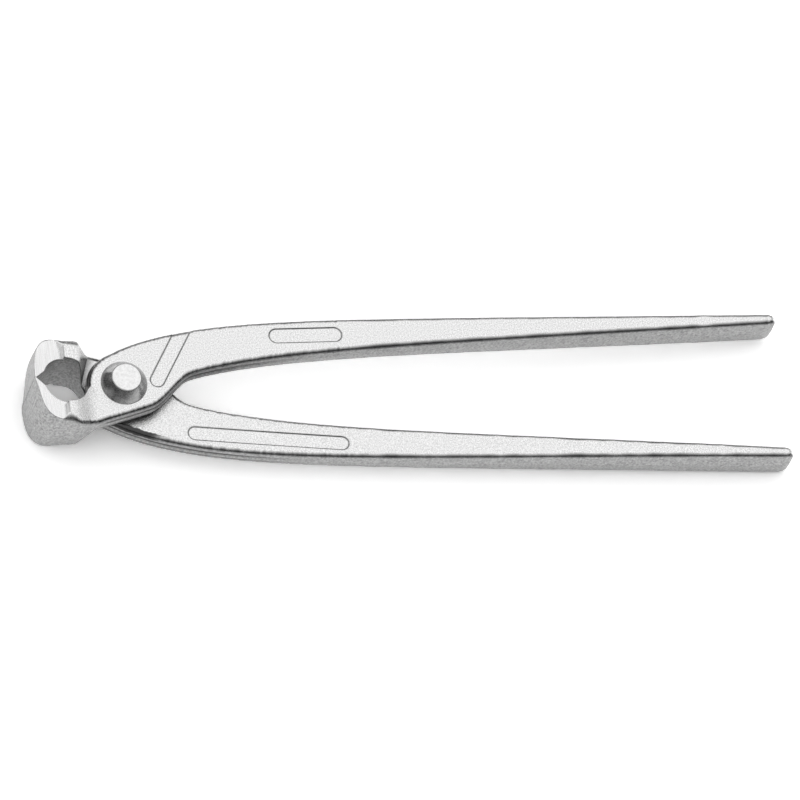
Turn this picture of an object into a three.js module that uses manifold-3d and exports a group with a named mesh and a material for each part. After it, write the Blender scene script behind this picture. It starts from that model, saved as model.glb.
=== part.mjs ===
// Concreters nippers: two forged levers, alike but for their recessed panels, crossed on one rivet.
// Millimetres, +Z along the rivet, jaws towards -X and handles towards +X.
// The levers meet on the lap plane, half way up the rivet. The origin is the middle of its rear flat.

import * as THREE from 'three';
import { mergeVertices } from 'three/addons/utils/BufferGeometryUtils.js';
import Module from 'manifold-3d';

const wasm = await Module();
wasm.setup();

// Fits
const RUNNING_GAP = 0.3; // between pieces that slide on each other
const SEAT_GAP = 0.2; // under each rivet head

// Joint
const BOSS_RADIUS = 10.1; // round end of each lever about the rivet
const BOSS_THICKNESS = 6; // one lever at the joint, lap plane to flat side
const BOSS_ARC_END = 116; // angle where the round end runs into the handle, degrees
const NECK_HALF = 9.9; // lower edge of the joint below the rivet axis
const NECK_ANGLE = 17.2; // rise of that edge from the jaw to the crotch, degrees
const CROTCH_START = 9.4; // where the edge turns up between the handles
const CROTCH_ANGLE = 46.6; // its climb there, degrees
const CORNER_EASE = 1.3; // roundness of the bends in that edge
const FAN_MARGIN = 2; // from the boss's last section to that turn

// Rivet
const RIVET_SHANK_RADIUS = 4;
const RIVET_HEAD_RADIUS = 6.75;
const RIVET_FLAT_RADIUS = 4.2;
const RIVET_HEAD_HEIGHT = 3.65;
const RIVET_SEAT_MARGIN = 0.75; // flat ground round the head

// Jaws
const EYE_RADIUS = 6.6; // round opening behind the cutting edges
const JAW_NOSE = 2.7; // from the eye to the cutting edge
const JAW_WALL = 7; // from the eye to the side of the head
const JAW_ROUNDNESS = 3.1; // exponent of the head's outline, 2 is an ellipse
const JAW_WIDTH = 20; // along the cutting edge
const FACET_DROP = 2.4; // how far the ground sides slope in towards the joint
const STEP_HEIGHT = 1.4; // forged side above the end of the ground side
const STEP_RUN = 0.15;
const BEVEL_ANGLE = 40; // inner bevel of the cutting edge, degrees
const EDGE_LAND = 0.3; // flat left on the cutting edge
const EDGE_GAP = 0.3; // between the closed edges
const SHOULDER_TOP = 2.5; // distance of the lap shoulder's upper edge from the boss
const SHOULDER_FOOT = -2.3; // the same for its lower edge, which slants in beside the boss
const STEP_TURN = 2; // where the step meets the eye, in degrees round the eye
const SHOULDER_TOP_TURN = 38; // and the two edges of the lap shoulder
const SHOULDER_FOOT_TURN = 70;

// Handles, measured on the parting line
const HANDLE_REACH = 193.7; // rivet axis to the tips
const OUTER_SPREAD = 20.3; // the outer edge's straight run, at the rivet axis
const OUTER_TIP = 23.15; // and at the tip
const OUTER_SWEEP = 9.05; // how far the bend pulls it in at the rivet axis
const OUTER_BEND = 21.5; // length over which the bend fades
const INNER_SPREAD = 7;
const INNER_TIP = 18.9;
const INNER_SWEEP = 11.55;
const INNER_BEND = 24.2;
const HANDLE_THICKNESS = 11.3; // at the tips
const THICKENING_START = 22; // from here the lap side swells out towards the tip
const THICKENING_EASE = 0.6; // share of that swelling that eases in and out
const TIP_ROUND = 3.4;
const TIP_TURN = 75; // degrees of the arc that draws the tip in
const TIP_FALL = 3.6; // rounding of the tip's faces

// Forging and finish
const DRAFT_ANGLE = 7; // lean of the side walls to the parting line, degrees
const HEAD_DRAFT_ANGLE = 9.5; // the same on the outside of the jaws
const NECK_DRAFT_ANGLE = 2; // and on the flat side of the neck
const SHOULDER_CORNER = 3; // corner cut off the outer end of the lap shoulder
const STEP_CORNER = 1.3; // the same at the step
const FORGED_CHAMFER = 0.5;
const GROUND_CHAMFER = 0.07;

// Recessed panels
const PANEL_DEPTH = 0.45;
const STRIP_WIDTH = 4.6; // slanted panel beside the rivet, open at the lever's outer edge
const STRIP_ANGLE = 60.5;
const STRIP_CLEARANCE = 0.7; // from the rivet head across to the strip's round end
const STRIP_RISE = 1; // middle of that end, above the rivet axis
const SHORT_PANEL_LENGTH = 21.6; // on the front lever's flat side
const SHORT_PANEL_WIDTH = 4.9;
const SHORT_PANEL_X = 53.3;
const SHORT_PANEL_TILT = 1.5;
const LONG_PANEL_LENGTH = 45.7; // on the rear lever's lap side
const LONG_PANEL_WIDTH = 4.6;
const LONG_PANEL_X = 40.7;
const LONG_PANEL_TILT = 4.9;

// Fineness of the facets
const RIVET_SIDES = 64;
const JAW_STEPS = 12;
const BOSS_STEPS = 5;
const HANDLE_STEPS = 16;
const TIP_STEPS = 5;
const PANEL_END_SIDES = 10;

// Places that follow from the sizes
const EYE_X = -(BOSS_RADIUS + RUNNING_GAP + EYE_RADIUS);
const JAW_DEPTH = EYE_RADIUS + JAW_NOSE;
const HEAD_HALF = EYE_RADIUS + JAW_WALL;
const EDGE_Z = JAW_WIDTH / 2;
const STEP_Z = EDGE_Z - FACET_DROP;
const SHOULDER_Z = STEP_Z + STEP_HEIGHT;
const FLARE_X = -(RIVET_HEAD_RADIUS + RIVET_SEAT_MARGIN);
const LAP_Z = RUNNING_GAP / 2;
const FLAT_Z = BOSS_THICKNESS + LAP_Z;
const RIVET_FLAT_Z = FLAT_Z + SEAT_GAP + RIVET_HEAD_HEIGHT;
const BORE_RADIUS = RIVET_SHANK_RADIUS + RUNNING_GAP;

const STEEL = 0xd9dadb;
const RIVET_STEEL = 0xc4c5c7;

const radians = THREE.MathUtils.degToRad;
const lerp = THREE.MathUtils.lerp;
const point = (x, y) => new THREE.Vector2(x, y);
const DRAFT = Math.tan(radians(DRAFT_ANGLE));
const HEAD_DRAFT = Math.tan(radians(HEAD_DRAFT_ANGLE));
const NECK_DRAFT = Math.tan(radians(NECK_DRAFT_ANGLE));
const softMax = (a, b) => (a + b + Math.hypot(a - b, CORNER_EASE)) / 2;
const softMin = (a, b) => (a + b - Math.hypot(a - b, CORNER_EASE)) / 2;

// Straight run along the handle, pulled in by a bend that fades away from the joint
function sweep(x, spread, tip, pull, bend) {
  return lerp(spread, tip, x / HANDLE_REACH) - pull * Math.exp(-x / bend);
}

const outerEdge = (x) => sweep(x, OUTER_SPREAD, OUTER_TIP, OUTER_SWEEP, OUTER_BEND);
const innerEdge = (x) => sweep(x, INNER_SPREAD, INNER_TIP, INNER_SWEEP, INNER_BEND);

// Lower edge of the lever from the head to the tip: neck line, climb at the crotch, then the handle
function lowerEdge(x) {
  const neck = -NECK_HALF + x * Math.tan(radians(NECK_ANGLE));
  const crotchFoot = -NECK_HALF + CROTCH_START * Math.tan(radians(NECK_ANGLE));
  const climb = crotchFoot + (x - CROTCH_START) * Math.tan(radians(CROTCH_ANGLE));
  const edge = softMin(softMax(neck, climb), innerEdge(x));
  return softMax(edge, -HEAD_HALF - CORNER_EASE / 2);
}

// Height of the flat side: level on the joint and handle, flaring up to the head
function flatSide(x) {
  const t = THREE.MathUtils.smoothstep(FLARE_X - x, 0, FLARE_X - EYE_X);
  return lerp(FLAT_Z, SHOULDER_Z, t);
}

// Height of the lap side: the lap plane at the joint, then easing down to the handle's full thickness
function lapSide(x) {
  const t = THREE.MathUtils.clamp((x - THICKENING_START) / (HANDLE_REACH - THICKENING_START), 0, 1);
  const eased = lerp(t, THREE.MathUtils.smoothstep(t, 0, 1), THICKENING_EASE);
  return lerp(LAP_Z, FLAT_Z - HANDLE_THICKNESS, eased);
}

// Height of the ground sides of the jaw
const groundSide = (x) => lerp(STEP_Z, EDGE_Z, (EYE_X - x) / JAW_DEPTH);

// Sections of a lever run from a point on its inner rail to one on its outer rail. Each has the heights of
// its two faces at both ends, the lean of its walls (left, right above and right below the parting line),
// and the cuts on its corners (three alike, and the one on the outer end of the lap side).

// Distance from the middle of the eye to the outside of the jaw: a squared-off ellipse
function jawOutline(angle) {
  const out = Math.pow(Math.cos(angle) / JAW_DEPTH, JAW_ROUNDNESS);
  const side = Math.pow(Math.sin(angle) / HEAD_HALF, JAW_ROUNDNESS);
  return Math.pow(out + side, -1 / JAW_ROUNDNESS);
}

// Sections round the eye, from the cutting edge to the step behind the ground sides
function jawStations() {
  const bevel = radians(BEVEL_ANGLE);
  const list = [];
  for (let i = 0; i <= JAW_STEPS; i += 1) {
    const angle = (i / JAW_STEPS) * Math.PI / 2;
    const outline = jawOutline(angle);
    const toBevel = (JAW_DEPTH - EDGE_LAND) * Math.sin(bevel) / Math.sin(bevel + angle);
    const reach = angle < Math.PI / 2 - bevel ? Math.max(EYE_RADIUS, toBevel) : EYE_RADIUS;
    const left = point(EYE_X - reach * Math.cos(angle), -EDGE_GAP / 2 - reach * Math.sin(angle));
    const right = point(EYE_X - outline * Math.cos(angle), -EDGE_GAP / 2 - outline * Math.sin(angle));
    const top = [groundSide(left.x), groundSide(right.x)];
    const bottom = [-top[0], -top[1]];
    const lean = HEAD_DRAFT * Math.sin(angle);
    list.push({ left, right, top, bottom, lean: [0, lean, lean], cuts: [GROUND_CHAMFER, GROUND_CHAMFER] });
  }
  return list;
}

// One section of the neck, at an angle round the eye and a place along the lower edge
function neckStation(turn, x, lap, corner) {
  const angle = radians(turn);
  const left = point(EYE_X + EYE_RADIUS * Math.sin(angle), -EDGE_GAP / 2 - EYE_RADIUS * Math.cos(angle));
  const right = point(x, lowerEdge(x));
  const top = [flatSide(left.x), flatSide(right.x)];
  const lean = [0, NECK_DRAFT, HEAD_DRAFT];
  return { left, right, top, bottom: [lap, lap], lean, cuts: [FORGED_CHAMFER / 2, corner] };
}

// Sections of the neck, from the step to the foot of the lap shoulder
function neckStations() {
  const topX = -BOSS_RADIUS - SHOULDER_TOP;
  const footX = -BOSS_RADIUS - SHOULDER_FOOT;
  const slopeTurn = (SHOULDER_TOP_TURN + SHOULDER_FOOT_TURN) / 2;
  const slopeCorner = (SHOULDER_CORNER + FORGED_CHAMFER) / 2;
  return [
    neckStation(STEP_TURN, EYE_X + STEP_RUN, -SHOULDER_Z, STEP_CORNER),
    neckStation(SHOULDER_TOP_TURN, topX, -SHOULDER_Z, SHOULDER_CORNER),
    neckStation(slopeTurn, (topX + footX) / 2, (LAP_Z - SHOULDER_Z) / 2, slopeCorner),
    neckStation(SHOULDER_FOOT_TURN, footX, LAP_Z, FORGED_CHAMFER),
  ];
}

// Section of the joint or handle, with walls that lean alike
function plainStation(left, right, top, lap) {
  const cuts = [FORGED_CHAMFER, FORGED_CHAMFER];
  return { left, right, top, bottom: [lap, lap], lean: [DRAFT, DRAFT, DRAFT], cuts };
}

// Sections of the boss: the round end about the rivet, fanned out to the lower edge
function bossStations() {
  const list = [];
  for (let i = 0; i < BOSS_STEPS; i += 1) {
    const t = i / (BOSS_STEPS - 1);
    const angle = radians(lerp(180, BOSS_ARC_END, t));
    const left = point(BOSS_RADIUS * Math.cos(angle), BOSS_RADIUS * Math.sin(angle));
    const x = lerp(-BOSS_RADIUS / 2, CROTCH_START - FAN_MARGIN, t);
    const right = point(x, lowerEdge(x));
    list.push(plainStation(left, right, [flatSide(left.x), flatSide(right.x)], LAP_Z));
  }
  return list;
}

// Sections where the boss runs into the handle, then along the handle to the start of its round tip
function handleStations() {
  const list = [];
  const level = [FLAT_Z, FLAT_Z];
  for (let i = 0; i <= BOSS_STEPS; i += 1) {
    const outer = lerp(0, THICKENING_START, i / BOSS_STEPS);
    const inner = lerp(CROTCH_START, THICKENING_START, i / BOSS_STEPS);
    list.push(plainStation(point(outer, outerEdge(outer)), point(inner, lowerEdge(inner)), level, LAP_Z));
  }
  for (let i = 1; i <= HANDLE_STEPS; i += 1) {
    const t = i / HANDLE_STEPS;
    const x = lerp(THICKENING_START, HANDLE_REACH - TIP_ROUND, (t + t * t) / 2);
    list.push(plainStation(point(x, outerEdge(x)), point(x, lowerEdge(x)), level, lapSide(x)));
  }
  return list;
}

// Sections of the tip, drawn in on part of a circle
function tipStations() {
  const full = radians(TIP_TURN);
  const list = [];
  for (let i = 1; i <= TIP_STEPS; i += 1) {
    const turn = (i / TIP_STEPS) * full;
    const x = HANDLE_REACH - TIP_ROUND * (1 - Math.sin(turn) / Math.sin(full));
    const middle = (outerEdge(x) + lowerEdge(x)) / 2;
    const half = (outerEdge(x) - lowerEdge(x)) / 2 * Math.cos(turn);
    const fall = TIP_FALL * (1 - Math.cos(turn));
    const top = [FLAT_Z - fall, FLAT_Z - fall];
    list.push(plainStation(point(x, middle + half), point(x, middle - half), top, lapSide(x) + fall));
  }
  return list;
}

// Ten corners of a section: two faces with cut corners, and two walls that lean out to the parting line
function corners({ left, right, top, bottom, lean, cuts }) {
  const across = right.clone().sub(left);
  const width = across.length();
  across.divideScalar(width);
  const parting = [(top[0] + bottom[0]) / 2, (top[1] + bottom[1]) / 2];
  const small = Math.min(cuts[0], width / 5);
  const large = Math.min(cuts[1], width / 5);
  const onLeft = (z, cut) => {
    const inset = Math.abs(z - parting[0]) * Math.min(lean[0], width / (4 * BOSS_THICKNESS)) + cut;
    return [left.x + across.x * inset, left.y + across.y * inset, z];
  };
  const onRight = (z, cut) => {
    const slope = z > parting[1] ? lean[1] : lean[2];
    const inset = Math.abs(z - parting[1]) * Math.min(slope, width / (4 * BOSS_THICKNESS)) + cut;
    return [right.x - across.x * inset, right.y - across.y * inset, z];
  };
  return [
    onLeft(top[0], small),
    onRight(top[1], small),
    onRight(top[1] - small, 0),
    onRight(parting[1], 0),
    onRight(bottom[1] + large, 0),
    onRight(bottom[1], large),
    onLeft(bottom[0], small),
    onLeft(bottom[0] + small, 0),
    onLeft(parting[0], 0),
    onLeft(top[0] - small, 0),
  ];
}

// Skin over a run of like sections, closed by a fan at each end
function loft(stations) {
  const rings = stations.map(corners);
  const size = rings[0].length;
  const index = [];
  for (let i = 0; i + 1 < rings.length; i += 1) {
    for (let j = 0; j < size; j += 1) {
      const a = i * size + j;
      const b = i * size + (j + 1) % size;
      index.push(a, b, a + size, b, b + size, a + size);
    }
  }
  const last = (rings.length - 1) * size;
  for (let j = 1; j + 1 < size; j += 1) {
    index.push(0, j + 1, j);
    index.push(last, last + j, last + j + 1);
  }
  const geometry = new THREE.BufferGeometry();
  geometry.setAttribute('position', new THREE.Float32BufferAttribute(rings.flat(2), 3));
  geometry.setIndex(index);
  return geometry;
}

// Closed solid for joining and cutting, without the slivers a lathe leaves on its axis
function solid(geometry) {
  geometry.deleteAttribute('normal');
  geometry.deleteAttribute('uv');
  const merged = mergeVertices(geometry, 1e-5);
  const index = merged.index.array;
  const kept = [];
  for (let i = 0; i < index.length; i += 3) {
    const [a, b, c] = [index[i], index[i + 1], index[i + 2]];
    if (a !== b && b !== c && c !== a) kept.push(a, b, c);
  }
  const vertProperties = new Float32Array(merged.attributes.position.array);
  return new wasm.Manifold(new wasm.Mesh({ numProp: 3, vertProperties, triVerts: new Uint32Array(kept) }));
}

function mesh(name, body, color, roughness) {
  const { vertProperties, triVerts, numProp } = body.getMesh();
  const positions = new Float32Array(vertProperties.length / numProp * 3);
  for (let i = 0; i < positions.length / 3; i += 1) {
    positions.set(vertProperties.subarray(i * numProp, i * numProp + 3), i * 3);
  }
  const geometry = new THREE.BufferGeometry();
  geometry.setAttribute('position', new THREE.BufferAttribute(positions, 3));
  geometry.setIndex(new THREE.BufferAttribute(new Uint32Array(triVerts), 1));
  geometry.computeVertexNormals();
  const material = new THREE.MeshStandardMaterial({ color, roughness, metalness: 1 });
  const result = new THREE.Mesh(geometry, material);
  result.name = name;
  return result;
}

// Straight bar with round ends, lying along X and rising from z = 0
function bar(length, width, height) {
  const r = width / 2;
  const half = length / 2 - r;
  const outline = new THREE.Shape();
  outline.absarc(half, 0, r, -Math.PI / 2, Math.PI / 2, false);
  outline.absarc(-half, 0, r, Math.PI / 2, Math.PI * 1.5, false);
  const options = { depth: height, bevelEnabled: false, curveSegments: PANEL_END_SIDES };
  return new THREE.ExtrudeGeometry(outline, options);
}

// Cutter for a panel, centred on its floor: turned about Z, tipped along its length and set in place
function panelCutter(length, width, turn, tip, place) {
  const geometry = bar(length, width, BOSS_THICKNESS);
  geometry.rotateY(tip);
  geometry.rotateZ(turn);
  geometry.translate(place.x, place.y, place.z);
  return solid(geometry);
}

// Slanted strip beside the rivet, running out over the lever's outer edge
function stripCutter() {
  const turn = radians(STRIP_ANGLE);
  const run = HEAD_HALF + OUTER_SPREAD;
  const endX = RIVET_HEAD_RADIUS + STRIP_CLEARANCE + STRIP_WIDTH / 2;
  const x = endX + run / 2 * Math.cos(turn);
  const y = STRIP_RISE + run / 2 * Math.sin(turn);
  const place = new THREE.Vector3(x, y, FLAT_Z - PANEL_DEPTH);
  return panelCutter(run + STRIP_WIDTH, STRIP_WIDTH, turn, 0, place);
}

// Middle of the handle's face at x
const handleMiddle = (x) => (outerEdge(x) + innerEdge(x)) / 2;

// Short panel on the handle's flat side
function shortPanelCutter() {
  const place = new THREE.Vector3(SHORT_PANEL_X, handleMiddle(SHORT_PANEL_X), FLAT_Z - PANEL_DEPTH);
  return panelCutter(SHORT_PANEL_LENGTH, SHORT_PANEL_WIDTH, radians(SHORT_PANEL_TILT), 0, place);
}

// Long panel on the handle's lap side, tipped to follow the slope there
function longPanelCutter() {
  const half = LONG_PANEL_LENGTH / 2;
  const rise = lapSide(LONG_PANEL_X + half) - lapSide(LONG_PANEL_X - half);
  const middle = (lapSide(LONG_PANEL_X + half) + lapSide(LONG_PANEL_X - half)) / 2;
  const floor = middle + PANEL_DEPTH - BOSS_THICKNESS;
  const place = new THREE.Vector3(LONG_PANEL_X, handleMiddle(LONG_PANEL_X), floor);
  const tip = -Math.atan2(rise, LONG_PANEL_LENGTH);
  return panelCutter(LONG_PANEL_LENGTH, LONG_PANEL_WIDTH, radians(LONG_PANEL_TILT), tip, place);
}

function lever(cutters) {
  const head = [...jawStations(), ...neckStations()];
  const arm = [...bossStations(), ...handleStations(), ...tipStations()];
  const bore = new THREE.CylinderGeometry(BORE_RADIUS, BORE_RADIUS, 4 * SHOULDER_Z, RIVET_SIDES);
  bore.rotateX(Math.PI / 2);
  const blank = solid(loft([...head, ...arm])).subtract(solid(bore));
  return cutters.reduce((body, cutter) => body.subtract(cutter), blank);
}

function rivet() {
  const half = [
    [RIVET_SHANK_RADIUS, FLAT_Z + SEAT_GAP],
    [RIVET_HEAD_RADIUS, FLAT_Z + SEAT_GAP],
    [RIVET_FLAT_RADIUS, RIVET_FLAT_Z],
    [0, RIVET_FLAT_Z],
  ];
  const rear = half.map(([r, z]) => point(r, -z)).reverse();
  const front = half.map(([r, z]) => point(r, z));
  const geometry = new THREE.LatheGeometry([...rear, ...front], RIVET_SIDES);
  geometry.rotateX(Math.PI / 2);
  return solid(geometry);
}

const frontLever = mesh('front_lever', lever([stripCutter(), shortPanelCutter()]), STEEL, 0.35);
const rearLever = mesh('rear_lever', lever([longPanelCutter()]), STEEL, 0.35);
const pivotRivet = mesh('pivot_rivet', rivet(), RIVET_STEEL, 0.25);

// The rear lever is the same forging turned over about the length of the tool
rearLever.rotation.x = Math.PI;

const nippers = new THREE.Group();
nippers.add(frontLever, rearLever, pivotRivet);
nippers.position.z = RIVET_FLAT_Z;

export default nippers;
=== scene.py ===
# %% [markdown]
# # Concreters nippers
# Two forged steel levers cross on one rivet. Each lever is a handle at one end and a cutting jaw at the
# other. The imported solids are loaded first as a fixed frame, and each finer piece built below takes the
# place of one of them, at the origin, unturned and unscaled.

import math
from types import SimpleNamespace

import bpy
import numpy as np
from mathutils import Matrix, Vector


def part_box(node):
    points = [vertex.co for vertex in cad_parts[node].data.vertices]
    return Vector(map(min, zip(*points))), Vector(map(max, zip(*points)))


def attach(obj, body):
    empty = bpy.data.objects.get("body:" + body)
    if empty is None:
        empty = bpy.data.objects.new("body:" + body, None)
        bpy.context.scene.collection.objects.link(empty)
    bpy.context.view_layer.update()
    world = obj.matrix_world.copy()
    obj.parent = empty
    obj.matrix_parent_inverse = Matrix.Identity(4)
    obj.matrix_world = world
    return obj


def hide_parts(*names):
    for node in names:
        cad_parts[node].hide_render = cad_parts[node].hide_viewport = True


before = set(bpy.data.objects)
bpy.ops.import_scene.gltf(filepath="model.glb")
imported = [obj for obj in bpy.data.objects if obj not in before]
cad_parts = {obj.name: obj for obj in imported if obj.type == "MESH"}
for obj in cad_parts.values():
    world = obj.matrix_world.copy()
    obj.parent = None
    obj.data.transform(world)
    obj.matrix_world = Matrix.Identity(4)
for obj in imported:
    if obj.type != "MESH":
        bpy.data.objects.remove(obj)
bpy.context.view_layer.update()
MM = 0.001  # sizes below are in millimetres, and meshes are in metres

# %% [markdown]
# ## Sizes of the forging
# The reach of the jaws and handles, the jaw width and the rivet's size come from the frame. The rest are
# the forging's own sizes. The levers meet on the lap plane, half way up the rivet, and every shape below
# is worked out from that plane and lifted into place at the end.

# %% Sizes
lever_low, lever_high = (np.array(corner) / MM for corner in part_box("front_lever"))
rivet_low, rivet_high = (np.array(corner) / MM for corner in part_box("pivot_rivet"))

LAP_LIFT = (rivet_low[2] + rivet_high[2]) / 2
JAW_REACH = -lever_low[0]
HANDLE_REACH = lever_high[0]
EDGE_Z = (lever_high[2] - lever_low[2]) / 2
RIVET_HEAD_RADIUS = rivet_high[0]
RIVET_FLAT_Z = (rivet_high[2] - rivet_low[2]) / 2

RUNNING_GAP = 0.3
LAP_Z = RUNNING_GAP / 2
LEVER_THICKNESS = 6
FLAT_Z = LEVER_THICKNESS + LAP_Z
BOSS_RADIUS = 10.1
BOSS_ARC_END = math.radians(116)
EYE_RADIUS = 6.6
EYE_X = -(BOSS_RADIUS + RUNNING_GAP + EYE_RADIUS)
EDGE_Y = -0.08  # the closed edges leave a hairline between them
JAW_DEPTH = JAW_REACH + EYE_X
JAW_WALL = 7
HEAD_HALF = EYE_RADIUS + JAW_WALL
GROUND_FALL, STEP_RISE = 2.4, 1.4
STEP_Z = EDGE_Z - GROUND_FALL
SHOULDER_Z = STEP_Z + STEP_RISE
FLARE_CLEARANCE = 0.75
FLARE_X = -(RIVET_HEAD_RADIUS + FLARE_CLEARANCE)
DRAFT = math.tan(math.radians(7))
HEAD_DRAFT = math.tan(math.radians(9.5))
NECK_DRAFT = math.tan(math.radians(2))
print("lap plane at", LAP_LIFT, "mm, eye at x =", round(EYE_X, 2), "mm")

# %% [markdown]
# ## Edges of the lever, as formulas
# Seen from above, a lever lies between two rails. The inner rail runs from the cutting edge round the eye
# and the boss to the outside of the handle. The outer rail runs from the edge round the outside of the jaw
# to the crotch and the inside of the handle. Both could be drawn by hand as Bezier curves, but formulas
# keep the two levers alike and let the same rails serve every section.

# %% Rails
CORNER_EASE = 1.3
NECK_HALF, NECK_SLOPE = 9.9, math.tan(math.radians(17.2))
CROTCH_X, CROTCH_SLOPE = 9.4, math.tan(math.radians(46.6))
OUTSIDE = dict(spread=20.3, tip=23.15, pull=9.05, bend=21.5)  # sides of the handle
INSIDE = dict(spread=7, tip=18.9, pull=11.55, bend=24.2)
THICKENING_X, THICKENING_EASE = 22, 0.6
HANDLE_THICKNESS = 11.3


def lerp(a, b, t):
    """Straight blend from a to b as t goes from 0 to 1."""
    return a + (b - a) * t


def smooth(t):
    """The S-curve 3t^2 - 2t^3, held to 0 and 1 outside its range."""
    t = np.clip(t, 0, 1)
    return t * t * (3 - 2 * t)


def soft_max(a, b):
    """Larger of two values, with the corner between them eased: half of a + b + the length (a - b, ease)."""
    return (a + b + np.hypot(a - b, CORNER_EASE)) / 2


def soft_min(a, b):
    """Smaller of two values, eased in the same way."""
    return (a + b - np.hypot(a - b, CORNER_EASE)) / 2


def handle_edge(x, spread, tip, pull, bend):
    """A straight line from spread to tip, less a pull that fades as exp(-x / bend)."""
    return lerp(spread, tip, x / HANDLE_REACH) - pull * np.exp(-x / bend)


def outer_edge(x):
    """Outside of the handle, on its parting line."""
    return handle_edge(x, **OUTSIDE)


def lower_edge(x):
    """Neck line, then the climb at the crotch, then the inside of the handle, each eased into the next."""
    neck = -NECK_HALF + x * NECK_SLOPE
    climb = -NECK_HALF + CROTCH_X * NECK_SLOPE + (x - CROTCH_X) * CROTCH_SLOPE
    inside = handle_edge(x, **INSIDE)
    return soft_max(soft_min(soft_max(neck, climb), inside), -HEAD_HALF - CORNER_EASE / 2)


def flat_side(x):
    """Height of the flat side: level, flaring up to the head on an S-curve."""
    return lerp(FLAT_Z, SHOULDER_Z, smooth((FLARE_X - x) / (FLARE_X - EYE_X)))


def ground_side(x):
    """Height of the ground side of the jaw: a plane that falls from the edge to the step."""
    return lerp(STEP_Z, EDGE_Z, (EYE_X - x) / JAW_DEPTH)


def lap_side(x):
    """Height of the lap side: the lap plane, then a fall, partly eased, to the handle's full thickness."""
    t = np.clip((x - THICKENING_X) / (HANDLE_REACH - THICKENING_X), 0, 1)
    return lerp(LAP_Z, FLAT_Z - HANDLE_THICKNESS, lerp(t, smooth(t), THICKENING_EASE))


print("handle at 100 mm:", round(lower_edge(100.0), 2), "to", round(outer_edge(100.0), 2), "mm across")

# %% [markdown]
# ## Sections along the lever
# A section is a straight line from a point of the inner rail to a point of the outer rail, with a height
# for each face. The sections fan round the eye and the boss, which a plain sweep along one path couldn't
# do without folding. Each stretch below gives its rails, heights, lean of the walls and corner radii.

# %% A stretch of sections
def stretch(kind, left, right, lap, lean, bulge, rounds):
    """One stretch of n sections.

    Each has two rail points, a lap height, three leans, a power for the curve of its walls and four radii.
    """
    n = len(left)
    full = lambda values: np.broadcast_to(np.array(values, float).T, (n, len(values)))
    return dict(
        kind=np.full(n, kind), left=left, right=right, lap=np.broadcast_to(lap, n), fall=np.zeros(n),
        rim=np.zeros(n), lean=full(lean), bulge=np.broadcast_to(bulge, n), rounds=full(rounds),
    )


def columns(*rows):
    """Several values, some of them arrays, as one array for each."""
    return np.array(np.broadcast_arrays(*rows), float)


def around_eye(angle, reach):
    """Points at a distance from the middle of the eye, the angle counted from -X towards -Y."""
    return np.column_stack([EYE_X - reach * np.cos(angle), EDGE_Y - reach * np.sin(angle)])


print("front of the eye:", around_eye(np.zeros(1), EYE_RADIUS).round(2).tolist(), "mm")

# %% [markdown]
# ## Jaw
# The jaw is a thick hook round the eye, with a cutting edge ground on its end and both sides ground flat.
# It could be carved from a block with booleans, but its edges are rounded by different amounts. Here the
# sections turn round the middle of the eye. The inner rail is the bevel and then the eye's circle, and the
# outer rail is a squared ellipse.

# %% Jaw
GROUND_ROUND = 0.1
STEP_SIDE_ROUND = 1.7  # the outer corner is broadest beside the step
BEVEL = math.radians(40)
EDGE_LAND = 0.45
JAW_SQUARENESS = 3.1  # power of the outline, 2 for a plain ellipse
HEAD_BULGE = 1.6  # power of the curve of the walls, 1 for straight ones
FACET_CORNER = 2.6  # rounding of the ground side where it runs into the step
FLAT_SKEW, LAP_SKEW = 0.04, 0.08  # the jaw narrows a little more to its flat side
BEVEL_SECTIONS, EYE_SECTIONS = 12, 56


def jaw_stretch():
    """Ground jaw: the outline's reach is (|cos / depth|^n + |sin / half|^n)^(-1/n), a squared ellipse."""
    bevel_start = JAW_DEPTH - EDGE_LAND
    bevel_end = math.asin(bevel_start * math.sin(BEVEL) / EYE_RADIUS) - BEVEL
    on_eye = np.linspace(bevel_end, math.pi / 2, EYE_SECTIONS)[1:]
    angle = np.concatenate([np.linspace(0, bevel_end, BEVEL_SECTIONS), on_eye])
    bevel = bevel_start * math.sin(BEVEL) / np.sin(BEVEL + angle)
    inner = np.where(angle < bevel_end, bevel, EYE_RADIUS)
    n = JAW_SQUARENESS
    outer = ((np.cos(angle) / JAW_DEPTH) ** n + (np.sin(angle) / HEAD_HALF) ** n) ** (-1 / n)
    right = around_eye(angle, outer)
    by_step = smooth((right[:, 0] - EYE_X) / FACET_CORNER + 1)
    corner = lerp(GROUND_ROUND, STEP_SIDE_ROUND, by_step)
    rounds = columns(GROUND_ROUND + 0 * angle, corner, corner, GROUND_ROUND)
    lean, skew = HEAD_DRAFT * np.sin(angle), np.sin(2 * angle)
    leans = columns(0 * angle, lean + FLAT_SKEW * skew, lean - LAP_SKEW * skew)
    made = stretch("jaw", around_eye(angle, inner), right, 0, leans, HEAD_BULGE, rounds)
    made["rim"] = (SHOULDER_Z - STEP_Z) * by_step
    return made


jaw_sections = jaw_stretch()
print("jaw:", len(jaw_sections["kind"]), "sections")

# %% [markdown]
# ## Neck and shoulder
# Behind the jaw the forging keeps its height for a short step. Its lap side then slopes along the shoulder
# to the lap plane, so that the other lever can pass. The two could be modelled apart and joined, but one
# function does for both: only the turn round the eye, the run of the neck and the lap heights differ.

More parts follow.
